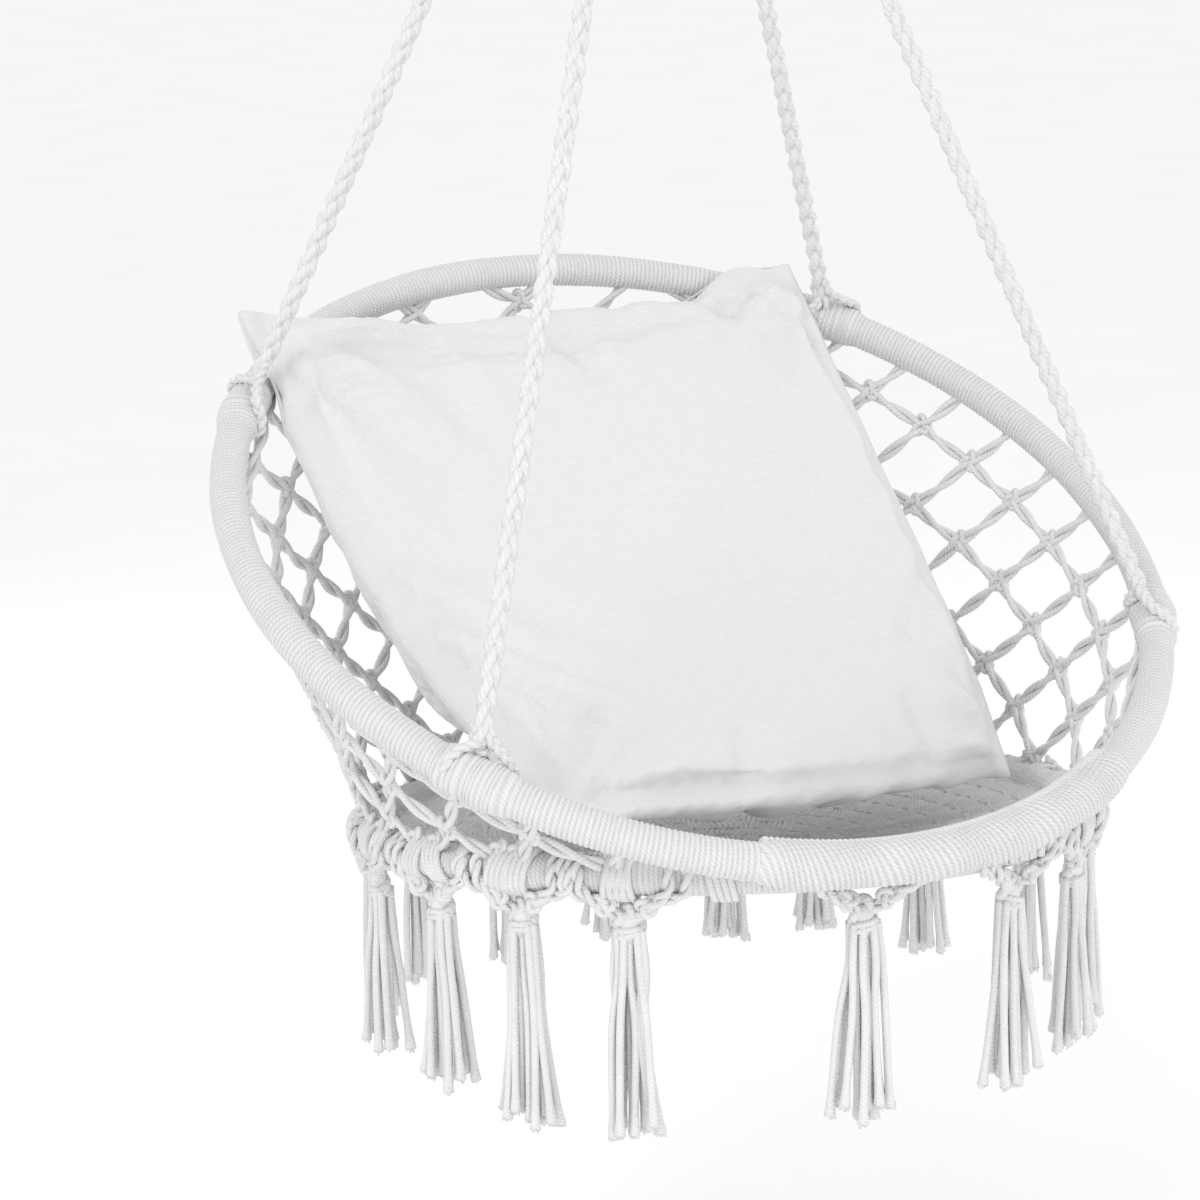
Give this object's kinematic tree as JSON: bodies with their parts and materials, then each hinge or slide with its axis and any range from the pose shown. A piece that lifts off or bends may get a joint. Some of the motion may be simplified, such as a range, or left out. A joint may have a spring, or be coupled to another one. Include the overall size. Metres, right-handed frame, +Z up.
{
  "type": "hammock chair",
  "caption": "Hanging macrame hammock chair: two cord-wrapped hoops joined by a knotted net, tassels below, ropes up to a ring, a loose cushion, and a ceiling plate with chain and carabiner.",
  "frame": {"origin": "middle of the ceiling plate's flat top face, where the chair hangs from the ceiling", "axes": "+Z up into the ceiling, -Y towards the front of the chair that the sitter faces, +X to the left hand of the sitter"},
  "size_m": [0.81, 0.7347, 1.8366],
  "materials": {
    "polished_steel": "polished pressed steel with fine turning marks",
    "zinc_steel": "bright zinc plating, satin",
    "tube_steel": "plain mill steel",
    "white_cord": "matt twisted cotton cord, off-white",
    "bound_cord": "matt fine cotton cord wound or knotted close, off-white",
    "cushion_cloth": "matt plain woven cloth, pale grey white"
  },
  "bodies": {
    "ceiling_mount": {"ceiling_plate": "polished_steel", "plate_eye": "polished_steel", "lag_screw_1": "zinc_steel", "lag_screw_2": "zinc_steel", "lag_screw_3": "zinc_steel", "lag_screw_4": "zinc_steel"},
    "chain": {"chain": "zinc_steel"},
    "carabiner": {"carabiner_body": "zinc_steel", "gate_pin": "zinc_steel"},
    "gate": {"carabiner_gate": "zinc_steel"},
    "ring": {"crown_ring": "zinc_steel"},
    "chair": {"rope_crown": "white_cord", "crown_binding": "bound_cord", "back_hoop_tube": "tube_steel", "seat_hoop_tube": "tube_steel", "front_panel": "bound_cord", "seat_mat": "bound_cord", "rope_front_left": "white_cord", "binding_front_left": "bound_cord", "rope_front_right": "white_cord", "binding_front_right": "bound_cord", "rope_back_left": "white_cord", "binding_back_left": "bound_cord", "rope_back_right": "white_cord", "binding_back_right": "bound_cord", "back_wrap_1": "white_cord", "seat_wrap_1": "white_cord", "back_wrap_2": "white_cord", "seat_wrap_2": "white_cord", "back_wrap_3": "white_cord", "seat_wrap_3": "white_cord", "back_wrap_4": "white_cord", "seat_wrap_4": "white_cord", "net_panel_1": "white_cord", "net_panel_2": "white_cord", "net_panel_3": "white_cord", "net_panel_4": "white_cord", "net_panel_5": "white_cord", "net_panel_6": "white_cord", "tassel_1": "white_cord", "tassel_2": "white_cord", "tassel_3": "white_cord", "tassel_4": "white_cord", "tassel_5": "white_cord", "tassel_6": "white_cord", "tassel_7": "white_cord", "tassel_8": "white_cord", "tassel_9": "white_cord", "tassel_10": "white_cord", "tassel_11": "white_cord", "tassel_12": "white_cord", "tassel_13": "white_cord", "tassel_14": "white_cord", "tassel_15": "white_cord", "tassel_16": "white_cord"},
    "cushion": {"cushion": "cushion_cloth"}
  },
  "joints": [
    {"name": "chain_swing", "type": "hinge", "parent": "ceiling_mount", "child": "chain", "pos_m": [0, 0, -0.0335], "axis": [1, 0, 0], "range_deg": [-35, 35]},
    {"name": "carabiner_rock", "type": "hinge", "parent": "chain", "child": "carabiner", "pos_m": [0, 0, -0.35985], "axis": [1, 0, 0], "range_deg": [-15, 15]},
    {"name": "gate_opening", "type": "hinge", "parent": "carabiner", "child": "gate", "pos_m": [0.0109, 0, -0.414], "axis": [0, -1, 0], "range_deg": [0, 14], "stiffness_Nm_per_rad": 0.06, "springref_deg": -5.73},
    {"name": "chair_turn", "type": "hinge", "parent": "carabiner", "child": "ring", "pos_m": [0, 0, -0.4299], "axis": [0, 0, 1], "range_deg": [-40, 40], "stiffness_Nm_per_rad": 0.02},
    {"name": "chair_tilt", "type": "hinge", "parent": "ring", "child": "chair", "pos_m": [0, 0, -0.47685], "axis": [0, 1, 0], "range_deg": [-25, 25]},
    {"name": "cushion_lift", "type": "slide", "parent": "chair", "child": "cushion", "axis": [0, -0.866, 0.5], "range_m": [0, 0.016]}
  ]
}
